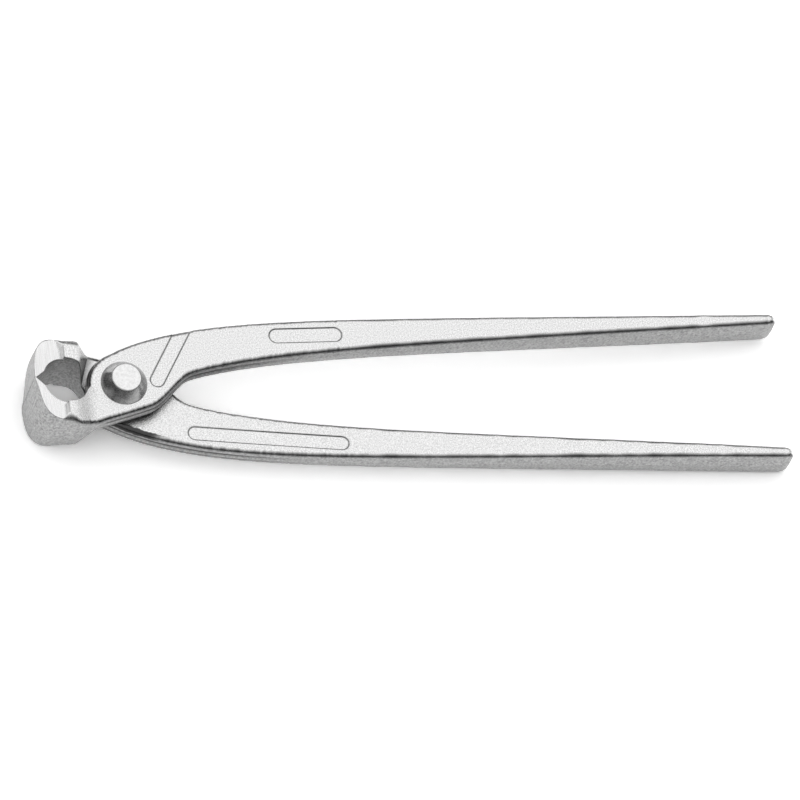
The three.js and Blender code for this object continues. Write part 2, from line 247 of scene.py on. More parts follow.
# %% Neck and shoulder
EYE_ROUND = 0.3
FORGED_ROUND = 1.2
SHOULDER_CORNER = 3.2
NECK_BULGE = 1.3
SIDE_BLEND = 5  # length over which the side of the head runs into the neck
SHOULDER_EASE = 0.4
STEP_X = EYE_X + 0.2
SHOULDER_TOP_X, SHOULDER_FOOT_X = -BOSS_RADIUS - 2.5, -BOSS_RADIUS + 2.3
STEP_TURN, SHOULDER_TOP_TURN, SHOULDER_FOOT_TURN = np.radians((2, 38, 70))
STEP_SECTIONS, SLOPE_SECTIONS = 30, 26


def neck_stretch(turns, xs, laps, corners, count):
    """Neck: the eye's wall turns while the lower edge runs on, each in even steps between two ends."""
    t = np.linspace(0, 1, count)
    turn = math.pi / 2 + lerp(*turns, t)
    x = lerp(*xs, t)
    side_y = lerp(EDGE_Y - HEAD_HALF, lower_edge(x), smooth((x - EYE_X) / SIDE_BLEND))
    right = np.column_stack([x, side_y])
    lap = lerp(*laps, lerp(t, smooth(t), SHOULDER_EASE))
    outer_round = lerp(STEP_SIDE_ROUND, FORGED_ROUND, smooth((x - EYE_X) / SIDE_BLEND))
    rounds = columns(EYE_ROUND + 0 * t, outer_round, lerp(*corners, t), EYE_ROUND)
    past_step = smooth((x - EYE_X) / (SHOULDER_TOP_X - EYE_X))
    lean = columns(0 * t, lerp(HEAD_DRAFT, NECK_DRAFT, past_step), HEAD_DRAFT)
    bulge = lerp(HEAD_BULGE, NECK_BULGE, past_step)
    return stretch("neck", around_eye(turn, EYE_RADIUS), right, lap, lean, bulge, rounds)


step_sections = neck_stretch(
    turns=(STEP_TURN, SHOULDER_TOP_TURN), xs=(STEP_X, SHOULDER_TOP_X),
    laps=(-SHOULDER_Z, -SHOULDER_Z), corners=(STEP_SIDE_ROUND, SHOULDER_CORNER), count=STEP_SECTIONS,
)
slope_sections = neck_stretch(
    turns=(SHOULDER_TOP_TURN, SHOULDER_FOOT_TURN), xs=(SHOULDER_TOP_X, SHOULDER_FOOT_X),
    laps=(-SHOULDER_Z, LAP_Z), corners=(SHOULDER_CORNER, FORGED_ROUND), count=SLOPE_SECTIONS,
)
print("neck:", len(step_sections["kind"]), "sections, shoulder:", len(slope_sections["kind"]))

# %% [markdown]
# ## Boss and root of the handle
# Round the rivet each lever is a flat boss of half the thickness, so that two of them cross. The inner rail
# follows its circle while the outer one runs along the neck to the crotch, and both go on into the handle.
# A disc and a bar joined by a boolean would meet in a hard seam, which fanned sections don't have.

# %% Boss and root
ROOT_X = CROTCH_X - 2  # where the root begins on the neck line
LEAVING_SLOPE = 0.45  # of the outside as it leaves the boss
BOSS_SECTIONS, ROOT_SECTIONS = 64, 110


def boss_stretch():
    """Boss: a circle about the rivet on one rail, fanned out to the neck line on the other."""
    t = np.linspace(0, 1, BOSS_SECTIONS)
    angle = lerp(math.pi, BOSS_ARC_END, t)
    x = lerp(-BOSS_RADIUS / 2, ROOT_X, t)
    left = BOSS_RADIUS * np.column_stack([np.cos(angle), np.sin(angle)])
    right = np.column_stack([x, lower_edge(x)])
    rounds = columns(FORGED_ROUND + 0 * t, FORGED_ROUND, FORGED_ROUND, FORGED_ROUND / 2)
    return stretch("boss", left, right, LAP_Z, columns(DRAFT + 0 * t, DRAFT, DRAFT), 1, rounds)


def root_stretch():
    """Root: a straight line off the boss, blended into the outside of the handle by an S-curve."""
    t = np.linspace(0, 1, ROOT_SECTIONS)
    start = BOSS_RADIUS * np.array([math.cos(BOSS_ARC_END), math.sin(BOSS_ARC_END)])
    x = lerp(start[0], THICKENING_X, t)
    on_edge = smooth((x - start[0]) / -start[0])
    y = lerp(start[1] + (x - start[0]) * LEAVING_SLOPE, outer_edge(x), on_edge)
    inner = lerp(ROOT_X, THICKENING_X, t)
    left, right = np.column_stack([x, y]), np.column_stack([inner, lower_edge(inner)])
    rounds = columns(FORGED_ROUND + 0 * t, FORGED_ROUND, FORGED_ROUND, FORGED_ROUND)
    return stretch("root", left, right, LAP_Z, columns(DRAFT + 0 * t, DRAFT, DRAFT), 1, rounds)


boss_sections, root_sections = boss_stretch(), root_stretch()
print("boss:", len(boss_sections["kind"]), "sections, root:", len(root_sections["kind"]))

# %% [markdown]
# ## Handle and tip
# The handle is a long taper, rounded at its end so that it doesn't dig into the hand. A bevel modifier would
# round every edge of the end alike. Drawing the last sections in on a quarter circle rounds it as seen from
# above, and letting their faces fall rounds it, by another amount, as seen from the side.

# %% Handle and tip
PANELS_END_X = 68
PANEL_SECTIONS, GRIP_SECTIONS, TIP_SECTIONS = 190, 90, 18
TIP_ROUND, TIP_CORNER = 3.4, 2.2
TIP_TURN = math.radians(86)
TIP_END = 0.4  # share of the width that is left at the very end


def handle_stretch():
    """Handle: sections square to X, closer together where the panels lie."""
    by_panels = np.linspace(THICKENING_X, PANELS_END_X, PANEL_SECTIONS)
    grip = np.linspace(PANELS_END_X, HANDLE_REACH - TIP_ROUND, GRIP_SECTIONS)[1:]
    x = np.concatenate([by_panels, grip])
    rounds = columns(FORGED_ROUND + 0 * x, FORGED_ROUND, FORGED_ROUND, FORGED_ROUND)
    left, right = np.column_stack([x, outer_edge(x)]), np.column_stack([x, lower_edge(x)])
    return stretch("handle", left, right, lap_side(x), columns(DRAFT + 0 * x, DRAFT, DRAFT), 1, rounds)


def tip_stretch():
    """Tip: the handle drawn in on a quarter circle, its faces falling by r - sqrt(r^2 - d^2) over d."""
    turn = np.linspace(0, TIP_TURN, TIP_SECTIONS)[1:]
    x = HANDLE_REACH - TIP_ROUND * (1 - np.sin(turn) / math.sin(turn[-1]))
    middle = (outer_edge(x) + lower_edge(x)) / 2
    drawn_in = lerp(TIP_END, 1, np.cos(turn))
    half = (outer_edge(x) - lower_edge(x)) / 2 * drawn_in
    past = np.clip(TIP_CORNER - (HANDLE_REACH - x), 0, TIP_CORNER)
    fall = TIP_CORNER - np.sqrt(TIP_CORNER**2 - past**2)
    rounds = columns(*[FORGED_ROUND * drawn_in] * 4)
    lean = columns(*[DRAFT * drawn_in] * 3)
    left, right = np.column_stack([x, middle + half]), np.column_stack([x, middle - half])
    made = stretch("tip", left, right, lap_side(x) + fall, lean, 1, rounds)
    made["fall"] = fall
    return made


handle_sections, tip_sections = handle_stretch(), tip_stretch()
print("handle:", len(handle_sections["kind"]), "sections, tip:", len(tip_sections["kind"]))

# %% [markdown]
# ## One row of sections
# The stretches are put end to end. Where one begins just as the last one ended, the second section is left
# out, because the faces between the two would have no area.

# %% All sections
SAME_PLACE = 1e-6


def end_to_end(stretches):
    """All stretches as one row, without the sections that lie where the one before them does."""
    row = {key: np.concatenate([made[key] for made in stretches]) for key in stretches[0]}
    moved = np.diff(np.hstack([row["left"], row["right"], row["lap"][:, None]]), axis=0)
    new = np.append(True, np.abs(moved).max(axis=1) > SAME_PLACE)
    return {key: values[new] for key, values in row.items()}


neck_sections = [step_sections, slope_sections]
shaft_sections = [boss_sections, root_sections, handle_sections, tip_sections]
sections = end_to_end([jaw_sections] + neck_sections + shaft_sections)
print(len(sections["kind"]), "sections from the edge to the tip")

# %% [markdown]
# ## Recessed panels
# The real levers have shallow sunken panels: a slanted strip beside the rivet, a short panel on one handle
# and a long one on the other. They could be cut with booleans, but a shallow panel with a soft rim is
# simpler as a drop in the height of the face, given by the distance to a straight bar with round ends.

# %% Panels
PANEL_DEPTH = 0.42
PANEL_RIM = 0.5


def bar_distance(x, y, start, end, width):
    """Distance to the outline of a bar with round ends: distance to its middle line, less half its width."""
    a, b = np.array(start, float), np.array(end, float)
    along = np.clip(((x - a[0]) * (b - a)[0] + (y - a[1]) * (b - a)[1]) / ((b - a) @ (b - a)), 0, 1)
    return np.hypot(x - a[0] - along * (b - a)[0], y - a[1] - along * (b - a)[1]) - width / 2


def panel_drop(x, y, bars):
    """Depth of the panels at a place: an S-curve across the rim, full depth inside it."""
    drop = np.zeros_like(x)
    for start, end, width in bars:
        drop = np.maximum(drop, PANEL_DEPTH * smooth(-bar_distance(x, y, start, end, width) / PANEL_RIM))
    return drop


# start, end and width of each panel
STRIP = ((RIVET_HEAD_RADIUS + 3, 1), (RIVET_HEAD_RADIUS + 15, 22.2), 4.6)
SHORT_PANEL = ((45.7, 15.0), (62.5, 15.5), 4.9)
LONG_PANEL = ((20.6, 12.5), (62.4, 16.1), 4.6)
print("panels:", [STRIP, SHORT_PANEL, LONG_PANEL])

# %% [markdown]
# ## Skin of a lever
# Each section becomes a ring: two faces, two walls that lean out to the parting line left by the forging
# dies, and four rounded corners. A bevel modifier could round the corners, but the radius changes along
# the lever, from a crisp ground edge to a broad shoulder, so the arcs are part of the ring.

# %% Corners and unevenness
ARC_POINTS = 9
WANDER_SECTIONS, WANDER_PAD = 3, 4  # neighbours that are averaged, and spare draws at each end


def arc(start, corner, end):
    """Near-circular corner: the rational curve ((1-t)^2 A + 2 w t (1-t) C + t^2 B) / sum, w = cos 45."""
    t = np.linspace(0, 1, ARC_POINTS)[None, :, None]
    w = math.sqrt(0.5)
    near, middle, far = (1 - t) ** 2, 2 * w * t * (1 - t), t**2
    top = near * start[:, None] + middle * corner[:, None] + far * end[:, None]
    return top / (near + middle + far)


def facet_depth(x, inward):
    """Distance inside the ground facet: the smaller of the distances to its step and side, corner rounded."""
    to_step = EYE_X - x
    corner = FACET_CORNER - np.hypot(FACET_CORNER - to_step, FACET_CORNER - inward)
    return np.where((to_step < FACET_CORNER) & (inward < FACET_CORNER), corner, np.minimum(to_step, inward))


def wander(count, seed):
    """Unevenness along the lever: a random number for each section, averaged with its neighbours."""
    drawn = np.random.default_rng(seed).normal(size=count + 2 * WANDER_PAD)
    return np.convolve(drawn, np.ones(WANDER_SECTIONS) / WANDER_SECTIONS, "same")[WANDER_PAD:-WANDER_PAD]


print("each corner is an arc of", ARC_POINTS, "points")

# %% [markdown]
# ## Rings
# Along each ring the points are named for where they lie: a face, a corner or a wall. The finishes and the
# dark places are given by these names later. Selecting faces by hand would do for one lever, but the names
# serve both, and stay right when a size changes.

# %% Ring of a section
HEAD, SHAFT = ("jaw", "neck"), ("boss", "root", "handle")
WALL_TURN = 5  # from this point of a corner on, it has the finish of the wall
WALL_POINTS = 10
RIM_SOFT = 0.2
WIDTH_OVER_CORNER, CORNER_OF_HALF = 3.2, 0.8  # limits on the corners where a section is narrow or thin
WIDTH_OVER_LEAN = 20  # and on the lean of its walls
CORNER_WANDER, WANDER_LIMIT = 0.12, 2  # how much the forged corner radii vary along the lever
FLASH, FLASH_HALF = 0.25, 0.5  # trimmed ridge on the parting line, proud of the wall
FLASH_END, FLASH_FADE = 60, 35  # it is ground away towards the tips


def rings(s, flat_points, lap_points, flat_bars, lap_bars, seed):
    """Rings of all sections, as arrays by section and point, with a name for each point along the ring.

    A wall is set in by lean times half the height times |share|^bulge, and stands out by a bell curve at the
    ridge. The share is 0 on the parting line and 1 at a face. Faces take their heights from the formulas.
    """
    n = len(s["kind"])
    across = s["right"] - s["left"]
    width = np.linalg.norm(across, axis=1)
    jaw = s["kind"] == "jaw"
    ridge = np.where(np.isin(s["kind"], SHAFT), smooth((FLASH_END - s["left"][:, 0]) / FLASH_FADE), 0)
    rough = wander(n, seed)

    def flat_height(x):
        return np.where(jaw[:, None], ground_side(x), flat_side(x)) - s["fall"][:, None]

    def lap_height(x):
        return np.where(jaw[:, None], -ground_side(x), s["lap"][:, None])

    rails = [s[end][:, :1] for end in ("left", "right")]
    parting = [(flat_height(x) + lap_height(x))[:, 0] / 2 for x in rails]
    half = [(flat_height(x) - lap_height(x))[:, 0] / 2 for x in rails]
    half[1] = half[1] + s["rim"]

    def wall(end, share):
        """Point of a wall: share runs from -1 at the lap side to 1 at the flat side."""
        lean = s["lean"][:, 0] if end == 0 else s["lean"][:, 1 if np.mean(share) > 0 else 2]
        inset = np.abs(share) ** s["bulge"] * half[end] * np.minimum(lean, width / WIDTH_OVER_LEAN)
        flash = FLASH * np.exp(-((share * half[end] / FLASH_HALF) ** 2)) * ridge
        w = inset - flash if end == 0 else width - inset + flash
        return np.column_stack([w, parting[end] + share * half[end]])

    def face(a, b, count):
        """Points between two corners, in even steps."""
        t = np.linspace(0, 1, count + 2)[None, 1:-1, None]
        return lerp(a[:, None], b[:, None], t)

    def side_wall(end, a, b):
        """Points of a wall between two corners, with one on the parting line."""
        share = lambda p: (p[:, 1] - parting[end]) / half[end]
        upper = np.linspace(0, 1, WALL_POINTS + 1)[1:-1]
        rows = [wall(end, lerp(share(a), 0.0, t)) for t in upper]
        rows.append(wall(end, np.zeros(n)))
        rows += [wall(end, lerp(0.0, share(b), t)) for t in upper]
        return np.stack(rows, axis=1)

    spots = []
    uneven = 1 + CORNER_WANDER * np.clip(rough, -WANDER_LIMIT, WANDER_LIMIT)
    for index, (end, side) in enumerate(((0, 1), (1, 1), (1, -1), (0, -1))):
        ground = np.isin(s["kind"], HEAD) & ((end == 0) | jaw)
        radius = s["rounds"][:, index] * np.where(ground, 1, uneven)
        radius = np.minimum(radius, np.minimum(width / WIDTH_OVER_CORNER, half[end] * CORNER_OF_HALF))
        corner = wall(end, np.full(n, float(side)))
        on_wall = wall(end, side * (1 - radius / half[end]))
        inward = radius if end == 0 else -radius
        on_face = corner + np.column_stack([inward, np.zeros(n)])
        spots.append((on_face, corner, on_wall))

    (tl_face, tl, tl_wall), (tr_face, tr, tr_wall), (br_face, br, br_wall), (bl_face, bl, bl_wall) = spots
    column = np.arange(ARC_POINTS)
    to_wall, from_wall = column >= WALL_TURN, column < ARC_POINTS - 1 - WALL_TURN
    blocks = [
        ("flat", face(tl_face, tr_face, flat_points), None),
        ("flat_round", arc(tr_face, tr, tr_wall), to_wall),
        ("outer_wall", side_wall(1, tr_wall, br_wall), None),
        ("lap_round", arc(br_wall, br, br_face), from_wall),
        ("lap", face(br_face, bl_face, lap_points), None),
        ("lap_round", arc(bl_face, bl, bl_wall), to_wall),
        ("inner_wall", side_wall(0, bl_wall, tl_wall), None),
        ("flat_round", arc(tl_wall, tl, tl_face), from_wall),
    ]
    label = np.concatenate([
        [name] * block.shape[1] if turn is None else np.where(turn, name.replace("round", "turn"), name)
        for name, block, turn in blocks
    ])
    bend = np.sin(np.pi * column / (ARC_POINTS - 1)) ** 2
    on_arc = np.concatenate([np.zeros(block.shape[1]) if turn is None else bend for _, block, turn in blocks])

    section = np.concatenate([block for _, block, _ in blocks], axis=1)
    w, z = section[..., 0], section[..., 1].copy()
    plan = s["left"][:, None] + across[:, None] * (w / width[:, None])[..., None]
    x, y = plan[..., 0], plan[..., 1]
    outer = w >= width[:, None] / 2
    flat, lap = np.char.startswith(label, "flat"), np.char.startswith(label, "lap")
    on_flat, on_lap = label == "flat", label == "lap"
    z[:, flat] += (flat_height(x) - flat_height(np.where(outer, rails[1], rails[0])))[:, flat]
    rim = np.where(jaw[:, None], 1 - smooth(facet_depth(x, width[:, None] - w) / RIM_SOFT), 1)
    lift = s["rim"][:, None] * rim
    z[:, on_flat] = (flat_height(x) + lift)[:, on_flat]
    z[:, on_lap] = (lap_height(x) - lift)[:, on_lap]
    drop = np.zeros_like(z)
    drop[:, flat] = panel_drop(x[:, flat], y[:, flat], flat_bars)
    drop[:, lap] = -panel_drop(x[:, lap], y[:, lap], lap_bars)
    return SimpleNamespace(
        x=x, y=y, z=z - drop, label=label, outer=outer, on_arc=on_arc, rim=rim, drop=drop,
        rough=rough, ridge=ridge,
        parting=np.where(label == "inner_wall", parting[0][:, None], parting[1][:, None]),
    )


PANEL_FACE_POINTS, PLAIN_FACE_POINTS = 64, 24
front_rings = rings(sections, PANEL_FACE_POINTS, PLAIN_FACE_POINTS, [STRIP, SHORT_PANEL], [], seed=3)
rear_rings = rings(sections, PLAIN_FACE_POINTS, PANEL_FACE_POINTS, [], [LONG_PANEL], seed=5)
print("ring:", front_rings.x.shape[1], "points, front lever:", front_rings.x.size, "in all")

# %% [markdown]
# ## Dark places
# Shade is painted into the colour of the forging where the real tool lies in shade: on the rims of the
# panels, at the foot of the step, between the levers, along the shoulder and beside the parting ridge. Its
# rounded edges look dark because they mirror the dark low down round the tool, and a light dark enough for
# that would turn the whole tool black from behind, so a part of that dark reflection is painted here. A
# painted picture could show all this, but it would need unwrapping. A number at each point of the mesh
# follows the shape by itself.

# %% Dark places
RIM_SHOWS = 0.1  # least height of the rim beside the step that gives it a painted line of shade
STEP_SHADE = 0.5  # painted shade along the foot of the step
SLOPE_SHADE, SLOPE_START, SLOPE_RATE = 0.75, 0.38, 2  # painted shade on the shoulder, from this share of the neck on
EDGE_REFLECTION, EDGE_WANDER, EDGE_MOST = 0.9, 0.1, 1.2  # painted dark reflection along the rounded edges, a little unevenly
SEAM_HEIGHT, SEAM_HALF = 1.0, 0.35  # painted shadow line on each side of the ridge
CREVICE_REACH, CREVICE_FADE = 20, 5  # how far from the rivet the seam between the levers has painted shade


def mid_peak(share):
    """The parabola 4 s (1 - s): nothing at either end of a share, and 1 half way."""
    return 4 * share * (1 - share)


def painted_shade_share(s, ring):
    """Painted shade and dark reflection at each point, 1 being full: the largest that any of the dark places
    gives it.
    """
    on_face, lap = np.isin(ring.label, ("flat", "lap")), np.char.startswith(ring.label, "lap")
    jaw, neck, head = s["kind"] == "jaw", s["kind"] == "neck", np.isin(s["kind"], HEAD)
    # painted shade along the rims of the panels and beside the step
    panel = mid_peak(np.abs(ring.drop) / PANEL_DEPTH)
    has_rim = on_face & (s["rim"][:, None] > RIM_SHOWS)
    rim = np.where(has_rim, np.maximum(panel, mid_peak(ring.rim)), panel)
    # painted shade at the foot of the step
    foot = np.append(jaw[:-1] & ~jaw[1:], False)[:, None] & on_face
    step = np.where(foot, STEP_SHADE, rim)
    # painted shade in the seam between the levers, near the rivet
    near_rivet = smooth((CREVICE_REACH - np.hypot(ring.x, ring.y)) / CREVICE_FADE)
    crevice = near_rivet * (lap & ~on_face) * np.isin(s["kind"], SHAFT)[:, None]
    # painted shade down the shoulder
    along = (s["right"][:, 0] - EYE_X) / (SHOULDER_FOOT_X - EYE_X)
    down_slope = smooth((along - SLOPE_START) / (1 - SLOPE_START) * SLOPE_RATE) * neck
    slope = SLOPE_SHADE * down_slope[:, None] * lap
    # painted dark reflection along the rounded edges
    uneven = np.clip(1 + EDGE_WANDER * ring.rough, 0, EDGE_MOST)
    edge = EDGE_REFLECTION * uneven[:, None] * ring.on_arc * (ring.outer | ~head[:, None])
    # painted shadow on each side of the parting ridge
    off_seam = (np.abs(ring.z - ring.parting) - SEAM_HEIGHT) / SEAM_HALF
    on_wall = np.isin(ring.label, ("inner_wall", "outer_wall"))
    seam = np.exp(-(off_seam**2)) * ring.ridge[:, None] * on_wall
    return np.maximum.reduce([step, crevice, slope, edge, seam])


front_painted_shade, rear_painted_shade = (painted_shade_share(sections, ring) for ring in (front_rings, rear_rings))
print("mean darkness:", round(front_painted_shade.mean(), 3), "front and", round(rear_painted_shade.mean(), 3), "rear")

# %% [markdown]
# ## From rings to a mesh
# The rings are joined into quads, closed by one face at each end. The faces get one of four finishes by
# where they lie: ground jaw sides, the wall of the eye, the trimmed walls along the parting line, and the
# forged skin everywhere else.

# %% Mesh of a lever
FORGED, GROUND, EYE_WALL, TRIMMED_AND_SHADED = range(4)
RIM_FORGED, RIM_MIDDLE = 0.2, 0.5  # height and share of the rim from which it keeps its forged skin
SHARP_ANGLE = math.radians(38)


def finish_of_faces(s, ring):
    """Finish of each quad, by the stretch of its section, the name of its column and the rim at the step."""
    kind, column = s["kind"][:-1, None], ring.label[None, :]
    on_side = np.isin(column, ("flat", "lap", "flat_round", "lap_round"))
    inner = column == "inner_wall"
    facet = on_side & ((ring.rim[:-1] < RIM_MIDDLE) | (s["rim"][:-1, None] < RIM_FORGED))
    ground = (kind == "jaw") & facet
    eye = np.isin(kind, HEAD) & inner & ~ground
    # walls take the trimmed finish, whose darker colour is partly painted shade of the sides
    trimmed = inner | np.isin(column, ("outer_wall", "flat_turn", "lap_turn"))
    return np.where(ground, GROUND, np.where(eye, EYE_WALL, np.where(trimmed, TRIMMED_AND_SHADED, FORGED)))


def skin(name, grid, finish, ends_finish=(FORGED, FORGED), painted_shade=None):
    """Mesh over a grid of closed rings: quads between neighbours, one face over each end ring."""
    n, m = grid.shape[:2]
    index = np.arange(n * m).reshape(n, m)
    ahead = np.roll(index, -1, axis=1)
    quads = np.stack([index[:-1], ahead[:-1], ahead[1:], index[1:]], axis=2).reshape(-1, 4)
    mesh = bpy.data.meshes.new(name)
    ends = [index[0, ::-1].tolist(), index[-1].tolist()]
    mesh.from_pydata((grid.reshape(-1, 3) * MM).tolist(), [], quads.tolist() + ends)
    mesh.polygons.foreach_set("material_index", np.append(finish.ravel(), ends_finish).astype(np.int32))
    # painted shade and dark reflection of each point, which darkens the metal's colour
    if painted_shade is not None:
        dark = mesh.attributes.new("painted_shade", "FLOAT", "POINT")
        dark.data.foreach_set("value", painted_shade.ravel().astype(np.float32))
    mesh.update()
    return mesh


def settle(grid, turned):
    """Lifts a lever from the lap plane into the frame; the rear one is first turned over about X."""
    placed = grid * (np.array([1, -1, -1]) if turned else 1)
    return placed + np.array([0, 0, LAP_LIFT])


def show(mesh, name):
    """Object for a mesh, shaded smooth except across sharp edges."""
    mesh.shade_smooth()
    mesh.set_sharp_from_angle(angle=SHARP_ANGLE)
    piece = bpy.data.objects.new(name, mesh)
    bpy.context.scene.collection.objects.link(piece)
    return piece


def lever_mesh(name, ring, dark, turned):
    """Mesh of a lever from its rings, with the edge ground, the end of the handle trimmed and painted shade
    at each point.
    """
    grid = settle(np.stack([ring.x, ring.y, ring.z], axis=2), turned)
    return skin(name, grid, finish_of_faces(sections, ring), (GROUND, TRIMMED_AND_SHADED), dark)


front_mesh = lever_mesh("front_lever_skin", front_rings, front_painted_shade, turned=False)
rear_mesh = lever_mesh("rear_lever_skin", rear_rings, rear_painted_shade, turned=True)
print("faces:", len(front_mesh.polygons), "front and", len(rear_mesh.polygons), "rear")

# %% [markdown]
# ## Bore for the rivet
# The bore is hidden under the rivet heads, but without it the shank would run through solid steel. It is a
# plain round hole through flat faces, the one place here where a boolean is the simplest tool.

# %% Bore
SHANK_RADIUS = 4
TURNED_SIDES = 128


def turned(name, profile, lift, finish=FORGED):
    """Solid of revolution: each (radius, height) of the profile carried round Z, poles closed by the ends."""
    r, z = np.array(profile, float).T
    angle = np.linspace(0, 2 * math.pi, TURNED_SIDES, endpoint=False)
    grid = np.empty((len(r), TURNED_SIDES, 3))
    grid[..., 0], grid[..., 1] = np.outer(r, np.cos(angle)), np.outer(r, np.sin(angle))
    grid[..., 2] = z[:, None] + lift
    return skin(name, grid, np.broadcast_to(finish, (TURNED_SIDES, len(r) - 1)).T)


def bored(piece):
    """The lever with a bore through its boss, cut by a boolean and baked into a new mesh."""
    radius, reach = SHANK_RADIUS + RUNNING_GAP / 2, 2 * EDGE_Z
    cutter_mesh = turned("bore_cutter", [(radius, -reach), (radius, reach)], LAP_LIFT)
    cutter = bpy.data.objects.new("bore_cutter", cutter_mesh)
    bpy.context.scene.collection.objects.link(cutter)
    cut = piece.modifiers.new("bore", "BOOLEAN")
    cut.operation, cut.solver, cut.object = "DIFFERENCE", "EXACT", cutter
    mesh = bpy.data.meshes.new_from_object(piece.evaluated_get(bpy.context.evaluated_depsgraph_get()))
    piece.modifiers.clear()
    piece.data = mesh
    bpy.data.objects.remove(cutter)


front_lever = show(front_mesh, "front_lever_forging")
rear_lever = show(rear_mesh, "rear_lever_forging")
bored(front_lever)
bored(rear_lever)
print("bored:", [len(piece.data.polygons) for piece in (front_lever, rear_lever)], "faces")

# %% [markdown]
# ## Rivet
# The rivet is turned bar, headed on both sides: a cone with a flat top, and a shank between. It could be
# made of cylinders and cones, but one outline carried round the axis gives the small arcs on its edges too,
# and the faint ring on each flat where the setting tool pressed. Half of it is written and then mirrored.

# %% Rivet
FLAT_RADIUS = 4.2
SEAT_GAP = 0.03
SEAT_Z = FLAT_Z + SEAT_GAP
RIM_ROUND, EDGE_ROUND = 0.25, 0.3
POLE_RADIUS = 0.02  # the outline stops just short of the axis, and the end face closes it
MARK_RADIUS, MARK_WIDTH, MARK_DEPTH = 2.5, 0.5, 0.03
FILLET_POINTS, FLAT_POINTS = 6, 60


def fillet(a, corner, b, radius):
    """Arc-like corner between two straight runs: a quadratic curve from one run to the other."""
    a, corner, b = (np.array(p, float) for p in (a, corner, b))
    start = corner + (a - corner) / np.linalg.norm(a - corner) * radius
    end = corner + (b - corner) / np.linalg.norm(b - corner) * radius
    t = np.linspace(0, 1, FILLET_POINTS)[:, None]
    return (1 - t) ** 2 * start + 2 * t * (1 - t) * corner + t**2 * end


def rivet_half():
    """Outline from the shank out to the rim, up the cone and in over the flat to the axis."""
    seat, rim = (SHANK_RADIUS, SEAT_Z), (RIVET_HEAD_RADIUS, SEAT_Z)
    top, pole = (FLAT_RADIUS, RIVET_FLAT_Z), (POLE_RADIUS, RIVET_FLAT_Z)
    r = np.linspace(FLAT_RADIUS - EDGE_ROUND, POLE_RADIUS, FLAT_POINTS)[1:]
    mark = MARK_DEPTH * np.exp(-(((r - MARK_RADIUS) / MARK_WIDTH) ** 2))
    flat = np.column_stack([r, RIVET_FLAT_Z - mark])
    rim_arc, top_arc = fillet(seat, rim, top, RIM_ROUND), fillet(rim, top, pole, EDGE_ROUND)
    return np.concatenate([[seat], rim_arc, top_arc, flat])


half_outline = rivet_half()
rear_half = half_outline[::-1] * np.array([1, -1])
outline = np.concatenate([rear_half, half_outline])
on_cone = (outline[:-1, 0] + outline[1:, 0]) / 2 > FLAT_RADIUS - EDGE_ROUND / 2
rivet = show(turned("pivot_rivet_skin", outline, LAP_LIFT, on_cone), "pivot_rivet_turned")
print("rivet:", len(rivet.data.polygons), "faces")

# %% [markdown]
# ## Place in the frame
# Each piece stands for its solid and moves with that solid's body. The rivet stays with the rear lever, so
# the front lever turns round it.

# %% Tie the pieces to the frame
for piece, node, body, slot in (
    (front_lever, "front_lever", "front_body", "lever_steel"),
    (rear_lever, "rear_lever", "rear_body", "lever_steel"),
    (rivet, "pivot_rivet", "rear_body", "rivet_steel"),
):
    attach(piece, body)
    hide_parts(node)
print("tied to the frame:", [piece.name for piece in (front_lever, rear_lever, rivet)])

# %% [markdown]
# ## Finishes
# All the steel is bright, as if plated. The forged faces keep a fine grain from blasting, the walls trimmed
# along the parting line are duller and darker, their darker colour partly real and partly painted shade of
# the sides, the jaw sides show the strokes of the grinding belt and the eye's wall is rough. The painted
# shade of the dark places darkens the forged skin, the jaw sides and the trimmed walls. The rivet is smooth
# from the lathe, with a darker cone. Pictures could carry this, but a metal shader with noise on object
# coordinates needs none, and stays put as the tool opens.

# %% Metal finishes
SPECK = (0.35, 0.65)  # noise levels between which the dark tone turns into the light one
GRAIN_DETAIL, GRAIN_ROUGHNESS = 4, 0.65
GRAIN_RELIEF = 0.1 * MM
PAINTED_SHADE_TONE = 0.06  # grey of the painted shade and dark reflection
BELT_STROKES = (2.5, 0.15, 2.5)  # grain drawn out along Y, as the belt ran


def grey(tone):
    """A grey as a colour with full cover."""
    return (tone, tone, tone, 1)


